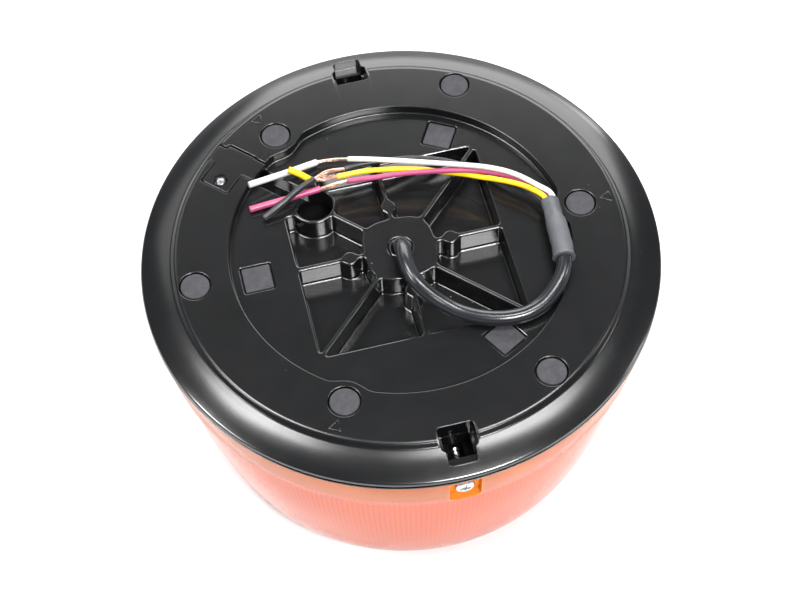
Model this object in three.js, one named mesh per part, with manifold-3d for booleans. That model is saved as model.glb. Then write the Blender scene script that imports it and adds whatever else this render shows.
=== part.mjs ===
// Amber LED warning beacon, three-bolt base, standing upside down on its lens crown.
// Millimetres, +Z up. The origin is on the ground under the middle of the crown; the
// mounting face of the base looks up, and +X passes through the first bolt position.

import * as THREE from 'three';
import { mergeVertices } from 'three/addons/utils/BufferGeometryUtils.js';
import Module from 'manifold-3d';

const wasm = await Module();
wasm.setup();

// ---------------------------------------------------------------- driving dimensions

const HEIGHT = 102;              // crown to mounting face
const BASE_RADIUS = 90.5;        // outside of the rim
const FACE_RADIUS = 78.6;        // flat mounting face
const BOLT_RADIUS = 65;          // three-bolt circle, 130 mm across
const FOOT_RADIUS = 72;          // circle of the three foot pads
const SQUARE_PAD_RADIUS = 50.6;  // circle of the three square pads
const RECESS_RADIUS = 59.4;      // shallow round recess in the mounting face
const RECESS_DEPTH = 3.5;
const FLOOR_DEPTH = 7;           // underside of the base plate below the face
const TUB_DEPTH = 15;            // underside of the ribbed square tub
const POCKET_DEPTH = 12.2;       // bottom of the pockets between the ribs
const SQUARE_HALF = 36.2;        // half side of the ribbed square
const RIB = 1.8;
const HUB_HALF = 12.8;
const CABLE_HOLE_RADIUS = 4.3;
const PILLAR_RADIUS = 2.8;
const PILLAR_OFFSET = 18;
const BORE_CENTRE = 25.2;        // corner bore, at (-BORE_CENTRE, +BORE_CENTRE)
const BORE_RADIUS = 6.5;
const SPIGOT_INNER = 79.5;       // ring that the lens skirt slides over
const SPIGOT_OUTER = 82.5;
const SKIRT_RADIUS = 88.4;
const SCREW_DEPTH = 18;          // lens screws below the mounting face
const CABLE_RADIUS = 2.7;
const LEAD_RADIUS = 0.95;
const SLUG_RADIUS = 1.15;
const GAP = 0.3;                 // between touching pieces
const POST_OFFSET = 25.5;        // board posts, square pattern
const BOARD_DEPTH = 30;          // upper face of the driver board
const ROUND = 60;                // facets of the big round parts
const SMALL_ROUND = 24;

// ---------------------------------------------------------------- materials

function material(color, roughness, metalness = 0) {
  return new THREE.MeshStandardMaterial({ color, roughness, metalness });
}

const blackPlastic = () => material(0x26282a, 0.42);
const greyRubber = () => material(0x5c5d63, 0.85);
const blackRubber = () => material(0x16171a, 0.75);
const amber = () => material(0xff7a1e, 0.12);
const zincSteel = () => material(0xc9ccd0, 0.28, 1);
const bareAluminium = () => material(0xb9bcc0, 0.38, 1);
const solderMask = () => material(0x14402c, 0.45);
const whiteNylon = () => material(0xe9e6dc, 0.5);
const clearPlastic = () => material(0xf2f6f8, 0.05);
const whiteBoard = () => material(0xf1f1ec, 0.5);

// ---------------------------------------------------------------- shape helpers

// A closed three.js geometry as a solid that can be joined and cut.
function solid(geometry) {
  geometry.deleteAttribute('normal');
  geometry.deleteAttribute('uv');
  const merged = mergeVertices(geometry, 1e-4);
  const corners = merged.index.array;
  const kept = [];
  for (let i = 0; i < corners.length; i += 3) {
    const [a, b, c] = [corners[i], corners[i + 1], corners[i + 2]];
    if (a !== b && b !== c && c !== a) kept.push(a, b, c);
  }
  return new wasm.Manifold(new wasm.Mesh({
    numProp: 3,
    vertProperties: new Float32Array(merged.attributes.position.array),
    triVerts: new Uint32Array(kept),
  }));
}

function geometryOf(manifold) {
  const mesh = manifold.getMesh();
  const geometry = new THREE.BufferGeometry();
  geometry.setAttribute('position', new THREE.BufferAttribute(mesh.vertProperties, 3));
  geometry.setIndex(new THREE.BufferAttribute(mesh.triVerts, 1));
  return geometry;
}

// Height of a point that lies a given depth below the mounting face.
function below(depth) {
  return HEIGHT - depth;
}

// Extrudes an outline between two depths below the mounting face.
function prism(shape, deep, shallow, curveSegments = 8) {
  const geometry = new THREE.ExtrudeGeometry(shape, {
    depth: deep - shallow, bevelEnabled: false, steps: 1, curveSegments,
  });
  geometry.translate(0, 0, below(deep));
  return solid(geometry);
}

function circle(radius, x = 0, y = 0) {
  return new THREE.Shape().absarc(x, y, radius, 0, 2 * Math.PI);
}

function disc(radius, deep, shallow, x = 0, y = 0, facets = SMALL_ROUND) {
  return prism(circle(radius, x, y), deep, shallow, facets / 2);
}

function polygon(points) {
  return new THREE.Shape(points.map(([x, y]) => new THREE.Vector2(x, y)));
}

function rectangle(x0, y0, x1, y1) {
  return polygon([[x0, y0], [x1, y0], [x1, y1], [x0, y1]]);
}

function roundedRectangle(halfX, halfY, radius) {
  const shape = new THREE.Shape();
  shape.absarc(halfX - radius, halfY - radius, radius, 0, Math.PI / 2);
  shape.absarc(radius - halfX, halfY - radius, radius, Math.PI / 2, Math.PI);
  shape.absarc(radius - halfX, radius - halfY, radius, Math.PI, 1.5 * Math.PI);
  shape.absarc(halfX - radius, radius - halfY, radius, 1.5 * Math.PI, 2 * Math.PI);
  return shape;
}

// Turns a profile of [radius, depth below the face] points, listed with the solid on the left.
function lathe(profile, facets = ROUND) {
  const points = profile.map(([r, depth]) => new THREE.Vector2(r, below(depth)));
  return solid(new THREE.LatheGeometry(points, facets).rotateX(Math.PI / 2));
}

function ringProfile(inner, outer, deep, shallow) {
  return [[inner, shallow], [inner, deep], [outer, deep], [outer, shallow], [inner, shallow]];
}

function turned(manifold, degrees) {
  return manifold.rotate([0, 0, degrees]);
}

// Points on the radius towards the cable exit: u outwards, v across it.
const EXIT_ANGLE = 3 * Math.PI / 4;

function exitPoint(u, v) {
  const c = Math.cos(EXIT_ANGLE);
  const s = Math.sin(EXIT_ANGLE);
  return [u * c - v * s, u * s + v * c];
}

function exitShape(points) {
  return polygon(points.map(([u, v]) => exitPoint(u, v)));
}

function polar(radius, degrees) {
  const angle = THREE.MathUtils.degToRad(degrees);
  return [radius * Math.cos(angle), radius * Math.sin(angle)];
}

// A round cord along hand-placed points [x, y, height above the mounting face].
function cord(points, radius, sides, steps) {
  const path = new THREE.CatmullRomCurve3(
    points.map(([x, y, z]) => new THREE.Vector3(x, y, HEIGHT + z)), false, 'centripetal');
  const section = polygon(Array.from({ length: sides }, (_, i) => polar(radius, 360 * i / sides)));
  return solid(new THREE.ExtrudeGeometry(section, { extrudePath: path, steps, bevelEnabled: false }));
}

const beacon = new THREE.Group();
beacon.name = 'led_warning_beacon';

function add(name, manifold, look) {
  const mesh = new THREE.Mesh(geometryOf(manifold), look);
  mesh.name = name;
  beacon.add(mesh);
}

// ---------------------------------------------------------------- base housing

const BOLT_ANGLES = [0, 120, 240];
const FOOT_ANGLES = [60, 180, 300];
const RIB_ANGLES = [0, 90, 180, 270];
const PLUG_RADIUS = 5;
const WELL_RADIUS = 5.55;
const WELL_DEPTH = 3.2;
const BOLT_HOLE_RADIUS = 4.3;
const BUMP_RADIUS = 7.8;
const SQUARE_WELL = 10.8;
const SQUARE_PAD = 9.8;
const SQUARE_WELL_DEPTH = 5.2;
const RIM_UNDERSIDE = 8;
const SPIGOT_DEPTH = 25;

// The crowned rim from the edge of the mounting face to its outer wall.
function rimCurve(steps) {
  const crown = new THREE.QuadraticBezierCurve(
    new THREE.Vector2(BASE_RADIUS - 0.2, 5), new THREE.Vector2(85.3, 2.15), new THREE.Vector2(79.9, 1.5));
  return crown.getPoints(steps).map((p) => [p.x, p.y]);
}

function plateBody() {
  return lathe([
    [0, FLOOR_DEPTH], [SPIGOT_INNER, FLOOR_DEPTH], [SPIGOT_INNER, SPIGOT_DEPTH],
    [SPIGOT_OUTER, SPIGOT_DEPTH], [SPIGOT_OUTER, RIM_UNDERSIDE], [BASE_RADIUS - 0.4, RIM_UNDERSIDE],
    [BASE_RADIUS, RIM_UNDERSIDE - 0.4], ...rimCurve(4), [79.3, 0.9], [FACE_RADIUS, 0], [0, 0],
  ]);
}

// Hub outline: a square with very round sides, flat enough to carry the four ribs.
function hubShape() {
  const points = [];
  for (let i = 0; i < 32; i += 1) {
    const angle = 2 * Math.PI * i / 32;
    const c = Math.cos(angle);
    const s = Math.sin(angle);
    const scale = (Math.abs(c) ** 3 + Math.abs(s) ** 3) ** (-1 / 3);
    points.push([HUB_HALF * scale * c, HUB_HALF * scale * s]);
  }
  return polygon(points);
}

// The eight pockets: the ribbed square less its hub, ribs, pillars and corner boss.
function pockets() {
  const deep = POCKET_DEPTH;
  const shallow = RECESS_DEPTH - 0.5;
  const reach = SQUARE_HALF * Math.SQRT2;
  let kept = prism(hubShape(), deep + 1, shallow - 1);
  const rib = prism(rectangle(0, -RIB / 2, reach, RIB / 2), deep + 1, shallow - 1);
  for (const angle of RIB_ANGLES) {
    const [x, y] = polar(PILLAR_OFFSET, angle);
    kept = kept.add(turned(rib, angle)).add(turned(rib, angle + 45));
    kept = kept.add(disc(PILLAR_RADIUS, deep + 1, shallow - 1, x, y, 16));
  }
  const bossWall = BORE_RADIUS + 1.4;
  kept = kept.add(disc(bossWall, deep + 1, shallow - 1, -BORE_CENTRE, BORE_CENTRE));
  const corner = SQUARE_HALF + 1;
  const fill = polygon([[-corner, 22.3], [-BORE_CENTRE, 22.3], [-22.3, BORE_CENTRE], [-22.3, corner],
    [-corner, corner]]);
  kept = kept.add(prism(fill, deep + 1, shallow - 1));
  return prism(roundedRectangle(SQUARE_HALF, SQUARE_HALF, 3), deep, shallow, 4).subtract(kept);
}

// The screwdriver window over each lens screw, stepped in towards the rim: shallow in the
// rim itself and deep inside the spigot, where it looks down on the screw.
function screwdriverWindow() {
  const mouth = polygon([
    [-6.1, -81.2], [-4.75, -82.4], [-4.75, -86], [4.75, -86], [4.75, -82.4], [6.1, -81.2],
    [6.1, -73.4], [-6.1, -73.4],
  ]);
  const shaft = rectangle(-4.75, -82.3, 4.75, -73.4);
  return prism(mouth, FLOOR_DEPTH, -1).add(prism(shaft, FLOOR_DEPTH + 6, 1));
}

// The block behind each lens screw: closed at the spigot, an open cradle further in.
function screwBoss() {
  const block = prism(rectangle(-5.6, -80.5, 5.6, -71), SPIGOT_DEPTH, FLOOR_DEPTH + 5);
  const cradle = prism(rectangle(-2.3, -79.6, 2.3, -70), SCREW_DEPTH + 2.4, FLOOR_DEPTH);
  return block.subtract(cradle);
}

function rearAndFront(manifold) {
  return manifold.add(turned(manifold, 180));
}

// Radial hole at the front of the housing, at the depth of the lens screws.
function radialRod(radius, from, to, facets = 16) {
  const length = to - from;
  const rod = new THREE.CylinderGeometry(radius, radius, length, facets);
  rod.translate(0, -(from + length / 2), below(SCREW_DEPTH));
  return solid(rod);
}

const COVER_SEAT = 2.3;
const COVER_SCREW = exitPoint(68.7, 9.8);

// Cable exit cover: neck at the recess, a wider plate, and the screw ear beside it.
function coverOutline(clearance) {
  const c = clearance;
  return exitShape([
    [58.6, -4.2 - c], [64.5, -4.2 - c], [64.5, -4.6 - c], [74.4 + c, -4.6 - c], [74.9 + c, -3 - c],
    [78 + c / 2, -3 - c], [78 + c / 2, 4.2 + c], [74.6 + c, 4.2 + c], [74.6 + c, 13.2 + c],
    [63.6 - c, 13.2 + c], [63.6 - c, 3.9 + c], [58.6, 3.9 + c],
  ]);
}

function baseHousing() {
  const trough = exitShape([[33, -5.6], [80, -5.6], [80, 4.6], [33, 4.6]]);
  let body = plateBody()
    .add(prism(roundedRectangle(SQUARE_HALF + 3, SQUARE_HALF + 3, 5), TUB_DEPTH, 4, 4))
    .add(prism(trough, 11, 5))
    .add(rearAndFront(screwBoss()));
  let recess = disc(RECESS_RADIUS, RECESS_DEPTH, -1, 0, 0, ROUND);
  for (const angle of BOLT_ANGLES) {
    const [x, y] = polar(BOLT_RADIUS, angle);
    recess = recess.subtract(disc(BUMP_RADIUS, RECESS_DEPTH + 1, -2, x, y));
  }
  body = body.subtract(recess).subtract(pockets());
  body = body.subtract(disc(BORE_RADIUS, TUB_DEPTH - 1.8, 0, -BORE_CENTRE, BORE_CENTRE));
  body = body.subtract(prism(exitShape([[36, -3.8], [76, -3.8], [76, 2.8], [36, 2.8]]), 8.6, 1));
  body = body.subtract(prism(coverOutline(GAP), COVER_SEAT, -1));
  body = body.subtract(disc(1.35, FLOOR_DEPTH + 1, 1, ...COVER_SCREW, 12));
  body = body.subtract(prism(exitShape([[74.5, 4], [77.6, 4], [77.6, 13], [74.5, 13]]), 1.6, -1));
  body = body.subtract(disc(CABLE_HOLE_RADIUS, TUB_DEPTH + 1, 0));
  for (const angle of BOLT_ANGLES) {
    const [x, y] = polar(BOLT_RADIUS, angle);
    body = body.subtract(disc(WELL_RADIUS, WELL_DEPTH, -1, x, y));
    body = body.subtract(disc(BOLT_HOLE_RADIUS, FLOOR_DEPTH + 1, 1, x, y));
  }
  const squareWell = rectangle(
    SQUARE_PAD_RADIUS - SQUARE_WELL / 2, -SQUARE_WELL / 2,
    SQUARE_PAD_RADIUS + SQUARE_WELL / 2, SQUARE_WELL / 2);
  for (const angle of FOOT_ANGLES) {
    const [x, y] = polar(FOOT_RADIUS, angle);
    body = body.subtract(disc(WELL_RADIUS, WELL_DEPTH, -1, x, y));
    body = body.subtract(turned(prism(squareWell, SQUARE_WELL_DEPTH, 2), angle));
  }
  body = body.subtract(rearAndFront(screwdriverWindow()));
  body = body.subtract(rearAndFront(radialRod(2.3, 68, 85)));
  for (const [x, y] of postCentres()) {
    body = body.add(disc(3.6, BOARD_DEPTH - GAP, TUB_DEPTH - 1, x, y, 16));
    body = body.subtract(disc(1.6, BOARD_DEPTH, 19, x, y, 12));
  }
  return body;
}

function postCentres() {
  return [45, 135, 225, 315].map((angle) => polar(POST_OFFSET * Math.SQRT2, angle));
}

add('base_housing', baseHousing(), blackPlastic());

// ---------------------------------------------------------------- cover, plugs and pads

function exitCover() {
  const plate = prism(coverOutline(0), COVER_SEAT - GAP, 0);
  const screwRecess = disc(2.5, 1.3, -1, ...COVER_SCREW);
  const screwHole = disc(1.4, 4, -1, ...COVER_SCREW, 12);
  return plate.subtract(screwRecess).subtract(screwHole);
}

// A pan-head screw standing upright: head on top, shank below.
function uprightScrew(x, y, headRadius, headTop, headHeight, shankRadius, shankEnd) {
  const head = disc(headRadius, headTop + headHeight, headTop, x, y, 16);
  return head.add(disc(shankRadius, shankEnd, headTop + headHeight - 0.2, x, y, 10));
}

add('cable_exit_cover', exitCover(), blackPlastic());
add('cover_screw', uprightScrew(...COVER_SCREW, 2.1, 0.2, 0.8, 1.05, 6.6), zincSteel());

BOLT_ANGLES.forEach((angle, index) => {
  const [x, y] = polar(BOLT_RADIUS, angle);
  const plug = disc(PLUG_RADIUS, WELL_DEPTH - GAP, 0, x, y).add(disc(3.9, 6, 2, x, y));
  add(`bolt_plug_${index + 1}`, plug, greyRubber());
});

FOOT_ANGLES.forEach((angle, index) => {
  const [x, y] = polar(FOOT_RADIUS, angle);
  add(`foot_pad_${index + 1}`, disc(PLUG_RADIUS, WELL_DEPTH - GAP, 0, x, y), greyRubber());
});

const squarePad = rectangle(
  SQUARE_PAD_RADIUS - SQUARE_PAD / 2, -SQUARE_PAD / 2,
  SQUARE_PAD_RADIUS + SQUARE_PAD / 2, SQUARE_PAD / 2);

FOOT_ANGLES.forEach((angle, index) => {
  const pad = turned(prism(squarePad, SQUARE_WELL_DEPTH - GAP, RECESS_DEPTH), angle);
  add(`square_pad_${index + 1}`, pad, greyRubber());
});

// ---------------------------------------------------------------- lens, gasket, lens screws

const FLANGE_TOP = 9.9;
const SKIRT_BOTTOM = 25.5;
const POCKET_WALL = 85.6;        // flat that the screw head sits on
const HEAD_RADIUS = 3.4;

// Outside of the dome below the skirt, down to the flat crown.
const DOME = [
  [48, 102], [60, 101.5], [67.5, 100.1], [72, 97.5], [74.9, 93.6], [77.4, 86],
  [80.6, 71], [83, 57], [84.8, 43], [86, 28],
];
const WALL = 3;

function lensBody() {
  const outside = [...DOME, [SKIRT_RADIUS - 0.6, SKIRT_BOTTOM + 0.6], [SKIRT_RADIUS, SKIRT_BOTTOM - 1],
    [SKIRT_RADIUS, 12.2], [89, 11.6], [89, FLANGE_TOP]];
  const inside = [[83, FLANGE_TOP], [83, 26], [81.6, 43], [79.8, 57], [77.4, 71], [73.8, 87], [70, 94],
    [64, 97.6], [48, HEIGHT - WALL], [0, HEIGHT - WALL]];
  return lathe([[0, HEIGHT], ...outside, ...inside]);
}

// Pocket in the skirt around each screw head.
function headPocket() {
  const depth = SCREW_DEPTH;
  return prism(rectangle(-5.5, -95, 5.5, -POCKET_WALL), depth + 7, depth - 5.2);
}

function lens() {
  return lensBody().subtract(rearAndFront(headPocket())).subtract(rearAndFront(radialRod(2.2, 80, 87)));
}

function lensScrew() {
  const head = radialRod(HEAD_RADIUS, POCKET_WALL + GAP, POCKET_WALL + GAP + 2.2, 20);
  return head.add(radialRod(1.9, 72.2, POCKET_WALL + GAP + 0.2, 12));
}

add('lens', lens(), amber());
add('lens_gasket', lathe(ringProfile(83.4, 89.4, FLANGE_TOP - GAP, RIM_UNDERSIDE + GAP)), blackRubber());
add('lens_screw_front', lensScrew(), zincSteel());
add('lens_screw_rear', turned(lensScrew(), 180), zincSteel());

// ---------------------------------------------------------------- cable and its leads

const JACKET_END = 20.5;

add('cable_grommet', lathe(ringProfile(3.2, 4, TUB_DEPTH - 0.2, RECESS_DEPTH - 0.2), SMALL_ROUND)
  .add(lathe(ringProfile(3.2, 6, TUB_DEPTH + 1.6, TUB_DEPTH + GAP), SMALL_ROUND))
  .add(lathe(ringProfile(3.2, 4, TUB_DEPTH + 0.5, TUB_DEPTH - 0.5), SMALL_ROUND)), blackRubber());
add('cable_tie', lathe(ringProfile(3, 4.6, 19.9, 17), SMALL_ROUND), whiteNylon());

// Heights are above the mounting face. The jacket rises out of the hub, bends over and
// lies in a loop on the recess floor until it climbs on to the step at the right.
add('cable_jacket', cord([
  [0, 0, -JACKET_END], [0, 0, -12], [0, 0, -5], [-0.1, -1.4, 0.2], [-0.5, -5.2, 4], [-0.9, -10.8, 5.5],
  [-0.4, -16.4, 5.2], [1.2, -21, 4.3], [4.4, -25.4, 2.6], [8.6, -29.3, 0.8], [12.8, -32.6, -0.3],
  [19.4, -36.4, -0.5], [26.7, -38.6, -0.5], [34, -38.8, -0.4], [40.5, -36.8, 0.2], [45.7, -33.1, 1.4],
  [49.7, -28.6, 2.5], [51.5, -25, 3], [52.1, -22.5, 3],
], CABLE_RADIUS, 10, 30), blackRubber());

const SLEEVE_WIDE = 3.65;
const SLEEVE_NARROW = 3;

add('heat_shrink_sleeve', cord([
  [52.2, -22, 3], [52.9, -17.4, 2.9], [53.5, -9.5, 2.8], [53.6, -6.2, 2.7],
], SLEEVE_WIDE, 12, 5).add(cord([
  [53.6, -7.2, 2.7], [54, -2.6, 2.4], [54.3, 1.7, 2.2],
], SLEEVE_NARROW, 12, 3)), material(0x7a7d82, 0.6));

// Each lead with its bare end, from the sleeve to the slug of insulation left on the strands.
const LEADS = {
  white: {
    color: 0xf4f3ee,
    lead: [[55.7, 2.5, 3.2], [55, 4.6, 3.7], [51.7, 8.2, 4], [47.8, 12.7, 3.9], [43.5, 16.6, 3.7],
      [39, 19.4, 3.6], [34.5, 21.6, 3.5], [25.6, 25.3, 3], [16.4, 29.3, 2.1], [6.8, 33.3, 1.2],
      [-1.9, 36.9, 0.3], [-9.3, 39.9, -0.9], [-15, 41.4, -1.4], [-20, 41.9, -1.6]],
    slug: [[-20.6, 41.9, -1.6], [-33, 39, -0.3], [-46, 36.1, 1.3]],
  },
  pink: {
    color: 0xd9628f,
    lead: [[55.3, 2.4, 1], [54.2, 5.7, 1], [51.9, 9.2, 1], [47.9, 13.3, 1], [43.7, 16.8, 1],
      [39.1, 19.4, 1], [34.5, 21.3, 1.2], [29.4, 22.9, 1.3], [24.3, 24.3, 1.1], [17.4, 26, 0.6],
      [6.9, 28.1, 0], [-2.3, 29.3, -0.6], [-11.7, 30.7, -1.2], [-21.1, 30.2, -1.6]],
    slug: [[-21.8, 30.1, -1.6], [-34.1, 29.1, -1.9], [-47.6, 28, -2]],
  },
  yellow: {
    color: 0xf2c400,
    lead: [[53, 2.4, 3.2], [52.4, 4.3, 3.1], [50.8, 6.5, 3], [49, 8.4, 3], [47, 10.2, 2.9],
      [42.7, 13.4, 2.4], [38.3, 16.6, 1.3], [34, 19.7, -0.1], [31, 22, -1], [27.8, 23.8, -1.4],
      [24.5, 25.2, -1.5], [20.6, 27, -1.7], [15.9, 29, -1.7], [7.7, 31.3, -1.5], [-4.3, 33.4, -1.4],
      [-14.7, 33.6, -1.4], [-23.6, 34.7, -1.8]],
    slug: [[-24.4, 35, -1.6], [-27.6, 36.6, 0.6], [-31.1, 38.2, 2.5]],
  },
  black: {
    color: 0x2c2d30,
    lead: [[52.6, 2.4, 1], [51.6, 4.6, 0.8], [50.1, 7.4, 0.6], [48.2, 10.1, 0.2], [44.5, 13.7, -0.4],
      [39.3, 18.6, -1.5], [34.4, 23.6, -2.1], [30, 27.6, -2.2], [25.3, 30.8, -2.2], [19.3, 33.5, -2.2],
      [12.4, 35.6, -2.2], [6, 36.6, -2.3], [0.9, 36.9, -2.2], [-4.9, 37.3, -2.1], [-11.3, 36.3, -1.5],
      [-15.5, 36, -0.4], [-19.4, 34.8, 0.6], [-22.4, 33.3, 1]],
    slug: [[-23.2, 32.9, 1], [-29.8, 29.6, 1.1], [-35.5, 26.3, 0.4], [-43.5, 23.2, -2]],
  },
};

for (const [name, { color, lead, slug }] of Object.entries(LEADS)) {
  add(`lead_${name}`, cord(lead, LEAD_RADIUS, 8, 36), material(color, 0.4));
  add(`slug_${name}`, cord(slug, SLUG_RADIUS, 8, 5), material(color, 0.4));
}

// ---------------------------------------------------------------- electronics and light source

const BOARD_THICKNESS = 1.6;
const BOARD_UNDERSIDE = BOARD_DEPTH + BOARD_THICKNESS;
const FLANGE_DEPTH = BOARD_UNDERSIDE + GAP;
const FLANGE_UNDERSIDE = FLANGE_DEPTH + 2.5;
const TOWER_END = 86;
const APOTHEM = 16;
const SCREW_CLEARANCE = 1.6;

function block(x0, y0, x1, y1, deep, shallow) {
  return prism(rectangle(x0, y0, x1, y1), deep, shallow);
}

function drilled(body, radius, deep, shallow) {
  return postCentres().reduce(
    (cut, [x, y]) => cut.subtract(disc(radius, deep, shallow, x, y, 12)), body);
}

add('cable_connector', block(-5.5, -4, 5.5, 4, 27, JACKET_END + GAP), whiteNylon());
add('board_header', block(-6.5, -5, 6.5, 5, BOARD_DEPTH - GAP, 27 + GAP), whiteNylon());
add('driver_board', drilled(disc(50, BOARD_UNDERSIDE, BOARD_DEPTH, 0, 0, 40), SCREW_CLEARANCE,
  BOARD_UNDERSIDE + 1, BOARD_DEPTH - 1), solderMask());
add('capacitor_1', disc(4, BOARD_DEPTH - GAP, 19, 14, -18, 16), material(0x2a2f45, 0.35));
add('capacitor_2', disc(4, BOARD_DEPTH - GAP, 19, 5, -21, 16), material(0x2a2f45, 0.35));
add('inductor', block(-20, -24, -8, -12, BOARD_DEPTH - GAP, 22.5), material(0x3a3a3d, 0.6));

// Hexagonal aluminium tower that carries the light source and draws off its heat.
function heatSink() {
  const flange = disc(41, FLANGE_UNDERSIDE, FLANGE_DEPTH, 0, 0, 36);
  const corner = APOTHEM / Math.cos(Math.PI / 6);
  const hexagon = polygon(Array.from({ length: 6 }, (_, i) => polar(corner, 60 * i + 30)));
  return drilled(flange.add(prism(hexagon, TOWER_END, FLANGE_UNDERSIDE - 1)), SCREW_CLEARANCE,
    FLANGE_UNDERSIDE + 1, FLANGE_DEPTH - 1).subtract(disc(SCREW_CLEARANCE, TOWER_END + 1, 76, 0, 0, 12));
}

// One face of the light source: an aluminium-cored board with three emitters soldered on.
function ledBoard() {
  const face = APOTHEM + GAP;
  let board = block(face, -7.5, face + 1.6, 7.5, 83, 39);
  for (const depth of [47, 61, 75]) {
    board = board.add(block(face + 1.4, -2.5, face + 2.9, 2.5, depth + 2.5, depth - 2.5));
  }
  return board;
}

// Clear ring lens with one convex belt level with each row of emitters.
function opticRing() {
  const outside = [[25, 83.5], [26.5, 82], [28.6, 75], [26.5, 68], [28.6, 61], [26.5, 54],
    [28.6, 47], [26.5, 40], [26.5, FLANGE_UNDERSIDE + GAP]];
  return lathe([...outside, [23.5, FLANGE_UNDERSIDE + GAP], [23.5, 83.5], [25, 83.5]], 36);
}

add('heat_sink', heatSink(), bareAluminium());
for (let face = 0; face < 6; face += 1) {
  add(`led_board_${face + 1}`, turned(ledBoard(), 60 * face), whiteBoard());
}
add('optic_ring', opticRing(), clearPlastic());
add('tower_cap', disc(29, 88.6, TOWER_END + GAP, 0, 0, 36)
  .subtract(disc(SCREW_CLEARANCE, 90, 80, 0, 0, 12)), whiteBoard());
add('cap_screw', disc(2.8, 91, 88.6 + GAP, 0, 0, 16).add(disc(1.25, 89.2, 78, 0, 0, 10)), zincSteel());

postCentres().forEach(([x, y], index) => {
  const head = disc(2.8, FLANGE_UNDERSIDE + GAP + 2, FLANGE_UNDERSIDE + GAP, x, y, 16);
  const shank = disc(1.25, FLANGE_UNDERSIDE + GAP + 0.3, 22, x, y, 10);
  add(`board_screw_${index + 1}`, head.add(shank), zincSteel());
});

export default beacon;
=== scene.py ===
"""Looks of the amber LED warning beacon, standing upside down on its lens crown."""
import math

import bmesh
import bpy
import numpy as np
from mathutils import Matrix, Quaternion, Vector
from mathutils.geometry import tessellate_polygon


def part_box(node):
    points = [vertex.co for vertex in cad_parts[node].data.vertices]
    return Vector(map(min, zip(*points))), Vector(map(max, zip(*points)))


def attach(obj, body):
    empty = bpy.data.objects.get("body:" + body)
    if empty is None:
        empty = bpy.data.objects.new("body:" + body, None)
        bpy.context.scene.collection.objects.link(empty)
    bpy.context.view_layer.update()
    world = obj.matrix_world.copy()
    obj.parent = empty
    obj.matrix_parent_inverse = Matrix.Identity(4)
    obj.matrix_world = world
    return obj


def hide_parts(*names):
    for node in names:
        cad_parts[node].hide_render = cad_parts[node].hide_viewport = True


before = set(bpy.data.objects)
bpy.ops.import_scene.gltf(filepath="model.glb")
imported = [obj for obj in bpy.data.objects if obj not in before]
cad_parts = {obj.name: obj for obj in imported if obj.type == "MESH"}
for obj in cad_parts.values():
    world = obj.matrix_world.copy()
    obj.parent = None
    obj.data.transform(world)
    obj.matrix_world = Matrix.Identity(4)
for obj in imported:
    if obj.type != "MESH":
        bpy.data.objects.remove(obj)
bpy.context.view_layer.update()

MM = 0.001
FACE_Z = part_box("foot_pad_1")[1].z    # height of the mounting face

# Dimensions in millimetres, depths below the mounting face.
RECESS_RADIUS = 59.4
RECESS_DEPTH = 3.5
SQUARE_HALF = 36.2
RIB = 1.8
HUB_HALF = 12.8
POCKET_DEPTH = 12.2
BORE_CENTRE = 25.2
BORE_RADIUS = 6.5
BOLT_RADIUS = 65.0
FOOT_RADIUS = 72.0
SQUARE_PAD_RADIUS = 50.6
BOLT_ANGLES = (0, 120, 240)
FOOT_ANGLES = (60, 180, 300)
SCREW_DEPTH = 18.0
SPIGOT_DEPTH = 25.0
CHANNEL_DEPTH = 5.1       # below the recess floor
CHANNEL_TILT = math.radians(9)
SEAT_DEPTH = 2.3
HUB_HOLE_RADIUS = 4.3
WELL_RADIUS = 5.45
WELL_DEPTH = 3.2
SQUARE_WELL_DEPTH = 1.7
SQUARE_WELL_HALF = 5.4
WINDOW_DEPTH = 7.0
SCREW_POCKET_HALF = 5.5
PAD_RADIUS = 5.0
PAD_DEPTH = 2.9
MARK_RADIUS = 74.7
MARK_SIZE = 2.4
MARK_LINE = 0.30
LENS_RIBS = 300
COVER_SCREW = (68.7, 9.8)    # along and across the exit direction
EXIT_ANGLE = math.radians(135)


# ---------------------------------------------------------------- camera

def make_camera():
    data = bpy.data.cameras.new("camera")
    data.lens = 73.08
    data.sensor_width = 36.0
    data.clip_start = 0.01
    camera = bpy.data.objects.new("camera", data)
    bpy.context.scene.collection.objects.link(camera)
    camera.location = Vector((-0.06555, -0.30696, 0.466)) + Vector((0, 0, FACE_Z))
    look = Vector((0.10901, 0.51713, -0.84894))
    camera.rotation_mode = "QUATERNION"
    camera.rotation_quaternion = (look.to_track_quat("-Z", "Y")
                                  @ Quaternion((0, 0, 1), math.radians(-2.311)))
    bpy.context.scene.camera = camera


make_camera()


# ---------------------------------------------------------------- node materials

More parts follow.
